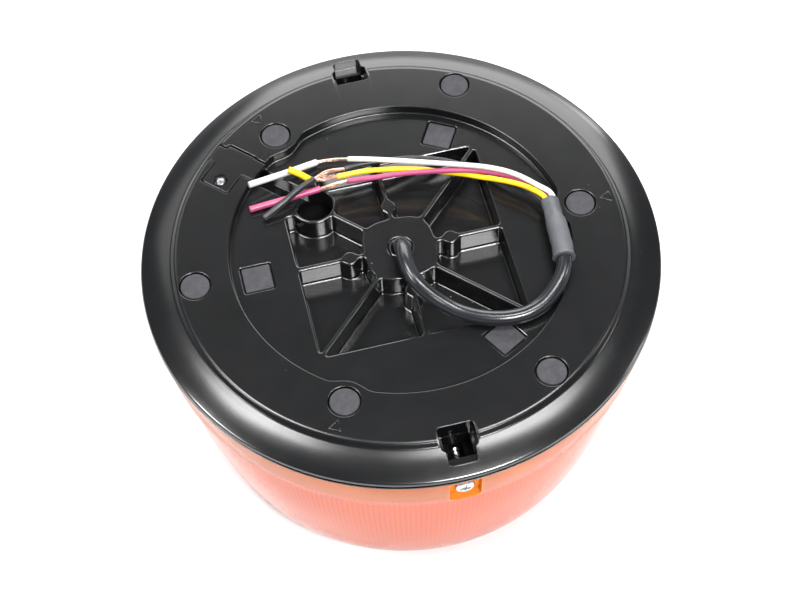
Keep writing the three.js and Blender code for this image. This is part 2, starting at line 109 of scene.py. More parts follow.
class Nodes:
    """Builds one material's node tree round a Principled shader."""

    def __init__(self, name):
        self.material = bpy.data.materials.new(name)
        self.material.use_nodes = True
        self.tree = self.material.node_tree
        self.tree.nodes.clear()
        self.output = self.add("ShaderNodeOutputMaterial")
        self.shader = self.add("ShaderNodeBsdfPrincipled")
        self.link(self.shader.outputs[0], self.output.inputs[0])
        self.coordinates = self.add("ShaderNodeTexCoord")
        self.place = self.coordinates.outputs["Object"]

    def add(self, kind, **settings):
        node = self.tree.nodes.new(kind)
        for key, value in settings.items():
            setattr(node, key, value)
        return node

    def link(self, source, target):
        self.tree.links.new(source, target)

    def put(self, **values):
        for key, value in values.items():
            self.shader.inputs[key.replace("_", " ")].default_value = value

    def dress(self, **sources):
        """Links sockets to the shader's inputs."""
        for key, source in sources.items():
            self.link(source, self.shader.inputs[key.replace("_", " ")])

    def noise(self, scale, detail=2.0, rough=0.5, stretch=(1, 1, 1)):
        mapping = self.add("ShaderNodeMapping")
        mapping.inputs["Scale"].default_value = stretch
        self.link(self.place, mapping.inputs["Vector"])
        node = self.add("ShaderNodeTexNoise")
        node.inputs["Scale"].default_value = scale
        node.inputs["Detail"].default_value = detail
        node.inputs["Roughness"].default_value = rough
        self.link(mapping.outputs[0], node.inputs["Vector"])
        return node.outputs["Fac"]

    def ramp(self, source, stops):
        node = self.add("ShaderNodeValToRGB")
        ramp = node.color_ramp
        while len(ramp.elements) < len(stops):
            ramp.elements.new(0.5)
        for element, (position, color) in zip(ramp.elements, stops):
            element.position = position
            element.color = (*color, 1) if hasattr(color, "__len__") else (color,) * 3 + (1,)
        self.link(source, node.inputs[0])
        return node.outputs[0]

    def spread(self, source, low, high):
        node = self.add("ShaderNodeMapRange")
        node.inputs["To Min"].default_value = low
        node.inputs["To Max"].default_value = high
        self.link(source, node.inputs["Value"])
        return node.outputs[0]

    def tone(self, noise, dark, light, low=0.3, high=0.7):
        """Colour that drifts between two tones."""
        return self.ramp(self.noise(*noise), [(low, dark), (high, light)])

    def calculate(self, operation, *values):
        """One math node; each value is a socket or a number."""
        node = self.add("ShaderNodeMath", operation=operation)
        for value, target in zip(values, node.inputs):
            if isinstance(value, (int, float)):
                target.default_value = value
            else:
                self.link(value, target)
        return node.outputs[0]

    def product(self, first, second):
        return self.calculate("MULTIPLY", first, second)

    def mix(self, kind, slot, *sources):
        """Mix node of a factor and two sources, the first of them in an input slot."""
        node = self.add("ShaderNodeMix", data_type=kind)
        for source, target in zip(sources, (0, slot, slot + 1)):
            self.link(source, node.inputs[target])
        return node

    def between(self, factor, low, high):
        """Blend of two values by a factor from 0 to 1."""
        return self.mix("FLOAT", 2, factor, low, high).outputs[0]

    def mixed(self, factor, low, high):
        """Blend of two colours by a factor from 0 to 1."""
        return self.mix("RGBA", 6, factor, low, high).outputs[2]

    def axes(self, source):
        """The three components of a vector."""
        split = self.add("ShaderNodeSeparateXYZ")
        self.link(source, split.inputs[0])
        return split.outputs

    def inside(self, half_width, low, high):
        """1 within a band of x about the middle and of height."""
        x, _, z = self.axes(self.place)
        soft = 0.1 * MM
        level = self.product(self.step(z, low - soft, low), self.step(z, high + soft, high))
        return self.product(self.step(self.calculate("ABSOLUTE", x), half_width + soft, half_width), level)

    def ribs(self, count):
        """Wave that runs round the vertical axis, 0 to 1."""
        x, y, _ = self.axes(self.place)
        turns = self.calculate("MULTIPLY", self.calculate("ARCTAN2", y, x), count)
        return self.step(self.calculate("COSINE", turns), -1, 1)

    def upward(self, source):
        """Vertical component of a vector."""
        return self.axes(source)[2]

    def step(self, source, low, high):
        """0 below low, 1 above high."""
        node = self.add("ShaderNodeMapRange")
        node.inputs["From Min"].default_value = low
        node.inputs["From Max"].default_value = high
        self.link(source, node.inputs["Value"])
        return node.outputs[0]

    def above(self, height, soft):
        """1 above a height, 0 below it."""
        return self.step(self.upward(self.place), height - soft, height)

    def facing_up(self):
        """1 on level surfaces, 0 on walls."""
        return self.step(self.upward(self.coordinates.outputs["Normal"]), 0.35, 0.6)

    def bump(self, source, strength, distance):
        node = self.add("ShaderNodeBump")
        node.inputs["Strength"].default_value = strength
        node.inputs["Distance"].default_value = distance
        previous = self.shader.inputs["Normal"]
        if previous.links:
            self.link(previous.links[0].from_socket, node.inputs["Normal"])
        self.link(source, node.inputs["Height"])
        self.link(node.outputs[0], previous)


def moulded(name, dark, light, rough, grain=2600, depth=0.00002, specular=0.5):
    """Moulded plastic: faint cloudy tone, fine spark-eroded grain, uneven polish."""
    m = Nodes(name)
    m.dress(Base_Color=m.tone((55, 4, 0.6), dark, light, 0.35))
    m.dress(Roughness=m.spread(m.noise(140, 5, 0.7), rough[0], rough[1]))
    m.bump(m.noise(grain, 2, 0.6), 0.25, depth)
    m.put(Specular_IOR_Level=specular)
    return m.material


def black_plastic():
    """Black moulding: satin mounting face, polished recesses, a little pale dust."""
    m = Nodes("black_moulding")
    cloud = m.tone((50, 4, 0.6), (0.0034, 0.0036, 0.0038), (0.0052, 0.0054, 0.0058), 0.35)
    dust = m.add("ShaderNodeTexVoronoi")
    dust.inputs["Scale"].default_value = 210
    m.link(m.place, dust.inputs["Vector"])
    specks = m.ramp(dust.outputs["Distance"], [(0.028, 1.0), (0.05, 0.0)])
    sparse = m.ramp(m.noise(60, 2, 0.5), [(0.56, 0.0), (0.63, 1.0)])
    where = m.product(specks, sparse)
    mix = m.add("ShaderNodeMix", data_type="RGBA")
    m.link(where, mix.inputs[0])
    m.link(cloud, mix.inputs[6])
    mix.inputs[7].default_value = (0.16, 0.16, 0.165, 1)
    m.dress(Base_Color=mix.outputs[2])
    satin = m.product(m.above(FACE_Z - 3.3 * MM, 0.3 * MM), m.facing_up())
    open_to_light = m.above(FACE_Z - 12.6 * MM, 0.2 * MM)
    wear = m.noise(120, 5, 0.7)
    finish = m.between(satin, m.spread(wear, 0.15, 0.20), m.spread(wear, 0.19, 0.25))
    m.dress(Roughness=m.between(open_to_light, m.spread(wear, 0.5, 0.6), finish))
    m.dress(Specular_IOR_Level=m.product(open_to_light, m.spread(satin, 0.85, 0.5)))
    m.bump(m.product(m.noise(3000, 2, 0.6), m.spread(satin, 0.25, 1.0)), 0.25, 0.000012)
    return m.material


def rubber(name, dark, light, rough=(0.6, 0.85)):
    m = Nodes(name)
    m.dress(Base_Color=m.tone((420, 5, 0.7), dark, light))
    m.dress(Roughness=m.spread(m.noise(300, 4, 0.6), *rough))
    m.bump(m.noise(1800, 3, 0.7), 0.35, 0.00004)
    m.put(Specular_IOR_Level=0.35)
    return m.material


def metal(name, color, rough, streak=(1, 1, 1)):
    m = Nodes(name)
    m.dress(Base_Color=m.tone((500, 3, 0.6), tuple(c * 0.8 for c in color), color))
    m.dress(Roughness=m.spread(m.noise(900, 3, 0.6, streak), *rough))
    m.bump(m.noise(1500, 2, 0.6, streak), 0.2, 0.00002)
    m.put(Metallic=1.0)
    return m.material


def amber_lens():
    """Amber resin: orange where it is thick near the base, pinker on the ribbed wall; a painted glow in the
    screw pockets and along the top lip, and painted streaks round the ribs.
    """
    m = Nodes("amber_acrylic")
    collar = m.tone((35, 3, 0.5), (0.46, 0.115, 0.026), (0.55, 0.15, 0.042))
    wall = m.tone((35, 3, 0.5), (0.54, 0.118, 0.064), (0.62, 0.155, 0.086))
    # Painted streaks: alternating orange and pink tones round the ribs stand in for the light that the ribs
    # refract.
    painted_rib_streaks = m.ramp(m.ribs(LENS_RIBS), [(0.2, (0.64, 0.145, 0.054)), (0.8, (0.60, 0.120, 0.072))])
    upper = m.mixed(m.above(FACE_Z - 60 * MM, 40 * MM), wall, painted_rib_streaks)
    shell = m.mixed(m.above(FACE_Z - 22 * MM, 0.4 * MM), upper, collar)
    # Painted glow: a brighter yellow-orange stands in for light shining through the thin walls of the screw
    # pockets.
    pocket = m.tone((35, 3, 0.5), (0.85, 0.27, 0.03), (0.95, 0.33, 0.05))
    pocket_glow_area = m.inside(5.6 * MM, FACE_Z - 25.1 * MM, FACE_Z - 12.9 * MM)
    # Painted glow: the top lip of the flange gets the same bright orange, a painted line of light along its
    # edge.
    lip = m.mixed(m.above(FACE_Z - 10.7 * MM, 0.2 * MM), shell, pocket)
    m.dress(Base_Color=m.mixed(pocket_glow_area, lip, pocket))
    m.dress(Roughness=m.spread(m.noise(60, 3, 0.5), 0.10, 0.18))
    m.bump(m.noise(250, 2, 0.5), 0.08, 0.0001)
    m.put(IOR=1.49, Transmission_Weight=0.3, Specular_IOR_Level=0.08)
    return m.material


def clear_optic():
    m = Nodes("clear_optic")
    m.dress(Base_Color=m.tone((40, 2, 0.5), (0.93, 0.96, 0.97), (0.98, 0.99, 1.0)))
    m.dress(Roughness=m.spread(m.noise(80, 2, 0.5), 0.03, 0.08))
    m.put(IOR=1.49, Transmission_Weight=0.9)
    return m.material


BLACK = black_plastic()
PAD_GREY = rubber("pad_rubber", (0.020, 0.020, 0.023), (0.038, 0.038, 0.043))
SEAL_BLACK = rubber("seal_rubber", (0.012, 0.012, 0.013), (0.022, 0.022, 0.024), (0.4, 0.6))
AMBER = amber_lens()
ZINC = metal("zinc_plate", (0.56, 0.57, 0.59), (0.18, 0.34))
STEEL = metal("oiled_steel", (0.34, 0.34, 0.35), (0.24, 0.36))
COPPER = metal("bare_copper", (1.0, 0.66, 0.52), (0.20, 0.34))
SHEATH = moulded("cable_pvc", (0.008, 0.009, 0.011), (0.015, 0.016, 0.019), (0.20, 0.28), 900, 0.00003)
SHRINK = moulded("shrink_tube", (0.050, 0.052, 0.058), (0.084, 0.087, 0.095), (0.45, 0.62), 700, 0.00008)
NYLON = moulded("natural_nylon", (0.72, 0.69, 0.61), (0.82, 0.80, 0.73), (0.40, 0.55), 900)
BOARD_GREEN = moulded("solder_mask", (0.008, 0.06, 0.028), (0.014, 0.095, 0.045), (0.25, 0.40), 700)
BOARD_WHITE = moulded("white_mask", (0.78, 0.78, 0.74), (0.86, 0.86, 0.83), (0.35, 0.5), 700)
ALUMINIUM = metal("bare_aluminium", (0.72, 0.73, 0.75), (0.30, 0.46), (1, 1, 0.1))
OPTIC = clear_optic()
SLEEVE_BLUE = moulded("capacitor_film", (0.020, 0.026, 0.07), (0.03, 0.04, 0.10), (0.25, 0.35), 500)
FERRITE = moulded("ferrite", (0.030, 0.030, 0.033), (0.055, 0.055, 0.06), (0.5, 0.7), 600)
LEAD_COLORS = {
    "white": moulded("white_pvc", (0.50, 0.495, 0.48), (0.56, 0.555, 0.54), (0.28, 0.4), 900),
    "pink": moulded("pink_pvc", (0.30, 0.040, 0.115), (0.42, 0.070, 0.17), (0.28, 0.4), 900),
    "yellow": moulded("yellow_pvc", (0.80, 0.50, 0.0), (0.88, 0.60, 0.004), (0.28, 0.4), 900),
    "black": moulded("black_pvc", (0.010, 0.010, 0.012), (0.022, 0.022, 0.025), (0.28, 0.4), 900),
}


# ---------------------------------------------------------------- mesh helpers

def metres(points):
    """Points of x, y and depth below the face in millimetres as row-frame metres."""
    p = np.array(points, float)
    return np.column_stack([p[:, 0] * MM, p[:, 1] * MM, FACE_Z - p[:, 2] * MM])


def mesh_object(name, verts, faces, material=None, smooth=35):
    """A mesh object from row-frame vertices, its faces turned outwards."""
    data = bpy.data.meshes.new(name)
    data.from_pydata([tuple(v) for v in verts], [], [tuple(f) for f in faces])
    bm = bmesh.new()
    bm.from_mesh(data)
    bmesh.ops.remove_doubles(bm, verts=bm.verts, dist=1e-7)
    bmesh.ops.recalc_face_normals(bm, faces=bm.faces)
    bm.to_mesh(data)
    bm.free()
    item = bpy.data.objects.new(name, data)
    bpy.context.scene.collection.objects.link(item)
    shade(item, smooth)
    if material:
        data.materials.append(material)
    return item


def shade(item, degrees):
    item.data.polygons.foreach_set("use_smooth", [True] * len(item.data.polygons))
    item.data.set_sharp_from_angle(angle=math.radians(degrees))


def even_shading(item):
    """Large flat faces keep their own normal where they meet a fillet."""
    modifier = item.modifiers.new("even", "WEIGHTED_NORMAL")
    modifier.keep_sharp = True
    modifier.weight = 50


def bake(item):
    """Replaces an object's mesh by what its modifiers make of it."""
    graph = bpy.context.evaluated_depsgraph_get()
    made = bpy.data.meshes.new_from_object(item.evaluated_get(graph))
    old = item.data
    item.modifiers.clear()
    item.data = made
    bpy.data.meshes.remove(old)


def combine(item, *tools, operation="DIFFERENCE"):
    """Cuts the tools from an object, or joins them to it, and removes them."""
    look = item.data.materials[0] if item.data.materials else None
    for tool in tools:
        modifier = item.modifiers.new("cut", "BOOLEAN")
        modifier.operation = operation
        modifier.solver = "MANIFOLD"
        modifier.object = tool
    bpy.context.view_layer.update()
    bake(item)
    item.data.materials.clear()
    item.data.materials.append(look)
    item.data.polygons.foreach_set("material_index", [0] * len(item.data.polygons))
    for tool in tools:
        data = tool.data
        bpy.data.objects.remove(tool)
        bpy.data.meshes.remove(data)


def join(name, *items):
    """Joins objects into one, each keeping its materials."""
    verts, faces, slots = [], [], []
    materials = []
    for item in items:
        start = len(verts)
        verts += [tuple(item.matrix_world @ v.co) for v in item.data.vertices]
        own = list(item.data.materials)
        for m in own:
            if m not in materials:
                materials.append(m)
        for p in item.data.polygons:
            faces.append([start + i for i in p.vertices])
            slots.append(materials.index(own[p.material_index]) if own else 0)
    data = bpy.data.meshes.new(name)
    data.from_pydata(verts, [], faces)
    for m in materials:
        data.materials.append(m)
    data.polygons.foreach_set("material_index", slots)
    for item in items:
        old = item.data
        bpy.data.objects.remove(item)
        bpy.data.meshes.remove(old)
    made = bpy.data.objects.new(name, data)
    bpy.context.scene.collection.objects.link(made)
    shade(made, 35)
    return made


def lathe(name, profile, segments, material=None, centre=(0, 0), wobble=None):
    """Turns a closed or axis-ended profile of [radius, depth] about a vertical axis."""
    verts, faces, rows = [], [], []
    for index, (r, depth) in enumerate(profile):
        if r < 1e-6:
            rows.append([len(verts)] * segments)
            verts.append((centre[0], centre[1], depth))
            continue
        row = []
        for i in range(segments):
            a = 2 * math.pi * i / segments
            rr = r + (wobble(index, i) if wobble else 0)
            row.append(len(verts))
            verts.append((centre[0] + rr * math.cos(a), centre[1] + rr * math.sin(a), depth))
        rows.append(row)
    closed = profile[0][0] > 1e-6 or profile[-1][0] > 1e-6
    pairs = list(zip(rows, rows[1:])) + ([(rows[-1], rows[0])] if closed else [])
    for low, high in pairs:
        for i in range(segments):
            j = (i + 1) % segments
            ring = [low[i], low[j], high[j], high[i]]
            face = list(dict.fromkeys(ring))
            if len(face) > 2:
                faces.append(face)
    return mesh_object(name, metres(verts), faces, material)


def arc(cx, cz, radius, start, end, steps):
    """Profile points on an arc; angles in degrees, 0 outwards and 90 towards the face."""
    angles = np.radians(np.linspace(start, end, steps + 1))
    return [(cx + radius * math.cos(a), cz - radius * math.sin(a)) for a in angles]


# ---------------------------------------------------------------- outlines

def rotated(x, y, degrees):
    c, s = math.cos(math.radians(degrees)), math.sin(math.radians(degrees))
    return x * c + y * s, y * c - x * s


def circle_field(cx, cy, radius):
    return lambda x, y: np.hypot(x - cx, y - cy) - radius


def box_field(x0, y0, x1, y1, corner=0.0, degrees=0):
    """Distance to an axis-aligned box in a frame turned by some degrees."""
    def field(x, y):
        u, v = rotated(x, y, degrees)
        dx = np.abs(u - (x0 + x1) / 2) - (x1 - x0) / 2 + corner
        dy = np.abs(v - (y0 + y1) / 2) - (y1 - y0) / 2 + corner
        outside = np.hypot(np.maximum(dx, 0), np.maximum(dy, 0))
        return outside + np.minimum(np.maximum(dx, dy), 0) - corner
    return field


def hub_field(x, y):
    distance = (np.abs(x) ** 3 + np.abs(y) ** 3) ** (1 / 3)
    return distance - HUB_HALF


def merge(*fields, blend=1.2):
    """Union of fields with rounded inner corners."""
    def field(x, y):
        value = fields[0](x, y)
        for other in fields[1:]:
            o = other(x, y)
            h = np.maximum(blend - np.abs(value - o), 0) / blend
            value = np.minimum(value, o) - h * h * blend / 4
        return value
    return field


def less(first, *others, blend=1.2):
    """First field less the others, with rounded corners."""
    inverse = merge(lambda x, y: -first(x, y), *others, blend=blend)
    return lambda x, y: -inverse(x, y)


def slope(field, p, step=1e-3):
    x, y = p[:, 0], p[:, 1]
    gx = (field(x + step, y) - field(x - step, y)) / (2 * step)
    gy = (field(x, y + step) - field(x, y - step)) / (2 * step)
    return np.column_stack([gx, gy])


def settle(field, p):
    """Moves points on to the field's zero line."""
    for _ in range(4):
        g = slope(field, p)
        p = p - field(p[:, 0], p[:, 1])[:, None] * g / np.maximum((g * g).sum(1), 1e-6)[:, None]
    return p


def trace(field, low, high, pitch=0.5, turn=5.0, reach=9.0):
    """Closed outlines of a field inside a window, each with its outward normals."""
    xs = np.arange(low[0], high[0] + pitch, pitch)
    ys = np.arange(low[1], high[1] + pitch, pitch)
    value = field(*np.meshgrid(xs, ys, indexing="ij"))
    inside = value < 0
    count = (inside[:-1, :-1].astype(int) + inside[1:, :-1] + inside[1:, 1:] + inside[:-1, 1:])
    following = {}
    for i, j in np.argwhere((count > 0) & (count < 4)):
        i, j = int(i), int(j)
        corners = [(i, j), (i + 1, j), (i + 1, j + 1), (i, j + 1)]
        edges = [tuple(sorted((corners[k], corners[(k + 1) % 4]))) for k in range(4)]
        state = [bool(inside[c]) for c in corners]
        for k in range(4):
            if state[k] and not state[(k + 1) % 4]:
                for step in range(1, 4):
                    m = (k + step) % 4
                    if not state[m] and state[(m + 1) % 4]:
                        following[edges[k]] = edges[m]
                        break
    outlines = []
    while following:
        start, key = next(iter(following.items()))
        del following[start]
        loop = [start]
        while key != start:
            loop.append(key)
            key = following.pop(key)
        points = []
        for a, b in loop:
            va, vb = value[a], value[b]
            t = va / (va - vb)
            points.append((xs[a[0]] + t * (xs[b[0]] - xs[a[0]]), ys[a[1]] + t * (ys[b[1]] - ys[a[1]])))
        outlines.append(thinned(field, np.array(points), turn, reach))
    return outlines


def thinned(field, points, turn, reach):
    """Evenly respaced outline with its straight stretches thinned out, and its normals."""
    closed = np.vstack([points, points[:1]])
    run = np.concatenate([[0], np.cumsum(np.hypot(*np.diff(closed, axis=0).T))])
    steps = np.linspace(0, run[-1], max(24, int(run[-1] / 0.3)), endpoint=False)
    even = np.column_stack([np.interp(steps, run, closed[:, k]) for k in (0, 1)])
    even = settle(field, even)
    normal = slope(field, even)
    normal /= np.linalg.norm(normal, axis=1)[:, None]
    kept, last = [0], 0
    for i in range(1, len(even)):
        bend = math.degrees(math.acos(min(1, max(-1, float(normal[i] @ normal[last])))))
        if bend > turn or np.hypot(*(even[i] - even[last])) > reach:
            kept.append(i if bend <= 2 * turn or i - 1 == last else i - 1)
            last = kept[-1]
    if np.hypot(*(even[kept[-1]] - even[0])) < 0.15:
        kept.pop()
    return even[kept], normal[kept]


def capped(rings, name, material=None):
    """A closed solid through rings of equal length, its two ends filled."""
    n = len(rings[0])
    verts = np.vstack(rings)
    faces = []
    for k in range(len(rings) - 1):
        for i in range(n):
            j = (i + 1) % n
            faces.append((k * n + i, k * n + j, (k + 1) * n + j, (k + 1) * n + i))
    for k, ring in ((0, rings[0]), (len(rings) - 1, rings[-1])):
        flat = [Vector((x, y, 0)) for x, y, _ in ring]
        faces += [[k * n + i for i in t] for t in tessellate_polygon([flat])]
    return mesh_object(name, metres(verts), faces, material)


def hollow(outline, depth, flare=0.4, floor=0.5, draft=1.2, surface=None, over=0.5):
    """Cutter for a pocket whose rim is rounded over and whose floor is filleted."""
    points, normals = outline
    lean = math.tan(math.radians(draft))
    rings = []

    def ring(offset, at_depth, follow=True):
        p = points + normals * offset
        top = surface(np.hypot(p[:, 0], p[:, 1])) if surface and follow else 0
        rings.append(np.column_stack([p, np.zeros(len(p)) + at_depth + top]))

    start = math.radians(7)
    widest = flare * (1 - math.sin(start)) + over
    ring(widest, -3, False)
    ring(widest, flare * (1 - math.cos(start)) - over * math.tan(start) - 0.01)
    for t in np.linspace(start, math.pi / 2, 5):
        ring(flare * (1 - math.sin(t)), flare * (1 - math.cos(t)))
    inset = lean * depth
    if floor > 0:
        for t in np.linspace(0, math.pi / 2, 5):
            ring(-inset - floor * (1 - math.cos(t)), depth - floor * (1 - math.sin(t)), False)
    else:
        ring(-inset, depth, False)
    return capped(rings, "hollow")


def slab(name, outline, deep, shallow, edge, material=None):
    """A plate with a rounded upper edge."""
    points, normals = outline
    rings = [np.column_stack([points, np.full(len(points), deep)])]
    for t in np.linspace(0, math.pi / 2, 5):
        p = points - normals * edge * (1 - math.cos(t))
        rings.append(np.column_stack([p, np.full(len(p), shallow + edge * (1 - math.sin(t)))]))
    return capped(rings, name, material)


def block(x0, y0, x1, y1, deep, shallow):
    corners = [(x0, y0), (x1, y0), (x1, y1), (x0, y1)]
    return capped([np.array([(x, y, d) for x, y in corners]) for d in (deep, shallow)], "block")


def exit_point(u, v):
    c, s = math.cos(EXIT_ANGLE), math.sin(EXIT_ANGLE)
    return u * c - v * s, u * s + v * c


def polar(radius, degrees):
    a = math.radians(degrees)
    return radius * math.cos(a), radius * math.sin(a)


# ---------------------------------------------------------------- cords

def smooth_path(points, spacing):
    """Centripetal Catmull-Rom curve through the points, evenly sampled."""
    p = np.array(points, float)
    p = np.vstack([2 * p[0] - p[1], p, 2 * p[-1] - p[-2]])
    out = []
    for i in range(1, len(p) - 2):
        a, b, c, d = p[i - 1], p[i], p[i + 1], p[i + 2]
        t1 = np.linalg.norm(b - a) ** 0.5
        t2 = t1 + np.linalg.norm(c - b) ** 0.5
        t3 = t2 + np.linalg.norm(d - c) ** 0.5
        for t in np.linspace(t1, t2, 24, endpoint=False):
            a1 = a * (t1 - t) / t1 + b * t / t1
            a2 = b * (t2 - t) / (t2 - t1) + c * (t - t1) / (t2 - t1)
            a3 = c * (t3 - t) / (t3 - t2) + d * (t - t2) / (t3 - t2)
            b1 = a1 * (t2 - t) / t2 + a2 * t / t2
            b2 = a2 * (t3 - t) / (t3 - t1) + a3 * (t - t1) / (t3 - t1)
            out.append(b1 * (t2 - t) / (t2 - t1) + b2 * (t - t1) / (t2 - t1))
    out.append(p[-2])
    out = np.array(out)
    run = np.concatenate([[0], np.cumsum(np.linalg.norm(np.diff(out, axis=0), axis=1))])
    steps = np.linspace(0, run[-1], max(2, int(round(run[-1] / spacing))) + 1)
    return np.column_stack([np.interp(steps, run, out[:, k]) for k in range(3)])


def frames(path):
    """Tangent and two cross directions along a path, without twist."""
    tangent = np.gradient(path, axis=0)
    tangent /= np.linalg.norm(tangent, axis=1)[:, None]
    side = np.cross(tangent[0], (0.31, 0.17, 0.93))
    side /= np.linalg.norm(side)
    sides = []
    for t in tangent:
        side = side - t * (side @ t)
        side /= np.linalg.norm(side)
        sides.append(side)
    sides = np.array(sides)
    return tangent, sides, np.cross(tangent, sides)


def sweep(name, path, radius, sides, material, shape=None, round_ends=0.0):
    """A closed tube along a path of [x, y, height]; shape(step, angle) scales its radius."""
    tangent, side, up = frames(path)
    stations = [(path[i], 1.0, i) for i in range(len(path))]
    if round_ends > 0:
        stations = []
        for c in np.linspace(math.pi / 2, 0, 4):
            stations.append((path[0] - tangent[0] * round_ends * math.sin(c),
                             1 - round_ends / radius * (1 - math.cos(c)), 0))
        stations += [(path[i], 1.0, i) for i in range(1, len(path) - 1)]
        for c in np.linspace(0, math.pi / 2, 4):
            stations.append((path[-1] + tangent[-1] * round_ends * math.sin(c),
                             1 - round_ends / radius * (1 - math.cos(c)), len(path) - 1))
    verts, faces = [], []
    for centre, scale, i in stations:
        for k in range(sides):
            a = 2 * math.pi * k / sides
            r = radius * scale * (shape(i / (len(path) - 1), a) if shape else 1)
            verts.append(centre + side[i] * r * math.cos(a) + up[i] * r * math.sin(a))
    rows = len(stations)
    for i in range(rows - 1):
        for k in range(sides):
            j = (k + 1) % sides
            faces.append((i * sides + k, i * sides + j, (i + 1) * sides + j, (i + 1) * sides + k))
    faces.append(tuple(range(sides)))
    faces.append(tuple((rows - 1) * sides + k for k in range(sides)))
    verts = np.array(verts)
    verts[:, 2] *= -1
    return mesh_object(name, metres(verts), faces, material, 50)


def row_points(path):
    """A path of [x, y, height] in millimetres as row-frame points."""
    p = np.array(path, float)
    p[:, 2] *= -1
    return metres(p)


SIDES_OF_CORD = 20
SHEATH_RADIUS = 2.7
LEAD_RADIUS = 0.95
SLUG_RADIUS = 1.15
JACKET_ROUTE = [
    (0, 0, -12), (0, 0, -5), (-0.1, -1.4, 0.2), (-0.5, -5.2, 4), (-0.9, -10.8, 5.5),
    (-0.4, -16.4, 5.2), (1.2, -21, 4.3), (4.4, -25.4, 2.6), (8.6, -29.3, 0.8), (12.8, -32.6, -0.3),
    (19.4, -36.4, -0.5), (26.7, -38.6, -0.5), (34, -38.8, -0.4), (40.5, -36.8, 0.2),
    (45.7, -33.1, 1.4), (49.7, -28.6, 2.5), (51.5, -25, 3), (52.1, -22.5, 3),
]
SLEEVE_ROUTE = [
    (52.05, -22.4, 3), (52.9, -17.4, 2.9), (53.5, -9.5, 2.8), (54, -2.6, 2.4), (54.3, 1.8, 2.2),
]
# Each lead: its insulated run, the stripped strands, and the slug of insulation left on them.
LEAD_ROUTES = {
    "white": (
        [(55.7, 2.5, 3.2), (55, 4.6, 3.7), (51.7, 8.2, 4), (47.8, 12.7, 3.9), (43.5, 16.6, 3.7),
         (39, 19.4, 3.6), (34.5, 21.6, 3.5), (25.6, 25.3, 3), (16.4, 29.3, 2.1), (6.8, 33.3, 1.2),
         (-1.9, 36.9, 0.3), (-9.3, 39.9, -0.9)],
        [(-9.3, 39.9, -0.9), (-15, 41.4, -1.4), (-20.6, 41.9, -1.6)],
        [(-20.6, 41.9, -1.6), (-33, 39, -0.3), (-46, 36.1, 1.3)]),
    "pink": (
        [(55.3, 2.4, 1), (54.2, 5.7, 1), (51.9, 9.2, 1), (47.9, 13.3, 1), (43.7, 16.8, 1),
         (39.1, 19.4, 1), (34.5, 21.3, 1.2), (29.4, 22.9, 1.3), (24.3, 24.3, 1.1), (17.4, 26, 0.6),
         (6.9, 28.1, 0), (-2.3, 29.3, -0.6), (-11.7, 30.7, -1.2)],
        [(-11.7, 30.7, -1.2), (-21.8, 30.1, -1.6)],
        [(-21.8, 30.1, -1.6), (-34.1, 29.1, -1.9), (-47.6, 28, -2)]),
    "yellow": (
        [(53, 2.4, 3.2), (52.4, 4.3, 3.1), (50.8, 6.5, 3), (49, 8.4, 3), (47, 10.2, 2.9),
         (42.7, 13.4, 2.4), (38.3, 16.6, 1.3), (34, 19.7, -0.1), (31, 22, -1), (27.8, 23.8, -1.4),
         (24.5, 25.2, -1.5), (20.6, 27, -1.7), (15.9, 29, -1.7), (7.7, 31.3, -1.5),
         (-4.3, 33.4, -1.4), (-14.7, 33.6, -1.4)],
        [(-14.7, 33.6, -1.4), (-24.4, 35, -1.6)],
        [(-24.4, 35, -1.6), (-27.6, 36.6, 0.6), (-31.1, 38.2, 2.5)]),
    "black": (
        [(52.6, 2.4, 1), (51.6, 4.6, 0.8), (50.1, 7.4, 0.6), (48.2, 10.1, 0.2), (44.5, 13.7, -0.4),
         (39.3, 18.6, -1.5), (34.4, 23.6, -2.1), (30, 27.6, -2.2), (25.3, 30.8, -2.2),
         (19.3, 33.5, -2.2), (12.4, 35.6, -2.2), (6, 36.6, -2.3), (0.9, 36.9, -2.2),
         (-4.9, 37.3, -2.1), (-11.3, 36.3, -1.5)],
        [(-11.3, 36.3, -1.5), (-15.5, 36, -0.4), (-19.4, 34.8, 0.6), (-23.2, 32.9, 1)],
        [(-23.2, 32.9, 1), (-29.8, 29.6, 1.1), (-35.5, 26.3, 0.4), (-43.5, 23.2, -2)]),
}


def strands(name, path, seed, spread):
    """Fine bare wires, lightly twisted; spread is how far they stand apart in the middle."""
    rng = np.random.default_rng(seed)
    _, side, up = frames(path)
    outer, core = 9, 4
    items = []
    for k in range(outer + core):
        inner = k >= outer
        phase = 2 * math.pi * ((k - outer) / core if inner else k / outer)
        reach = 0.16 if inner else 0.42
        loose = rng.uniform(0.0, 1.0) * spread * (0.5 if inner else 1)
        wander = rng.uniform(-0.5, 0.5)
        line = []
        for i, p in enumerate(path):
            t = i / (len(path) - 1)
            a = phase + 1.6 * t + wander * math.sin(math.pi * t)
            r = reach + loose * math.sin(math.pi * t) ** 2
            line.append(p + side[i] * r * math.cos(a) + up[i] * r * math.sin(a))
        items.append(sweep(f"{name}_{k}", np.array(line), 0.11, 6, COPPER))
    return items


SPREAD = {"white": 0.05, "pink": 0.30, "yellow": 0.75, "black": 0.35}


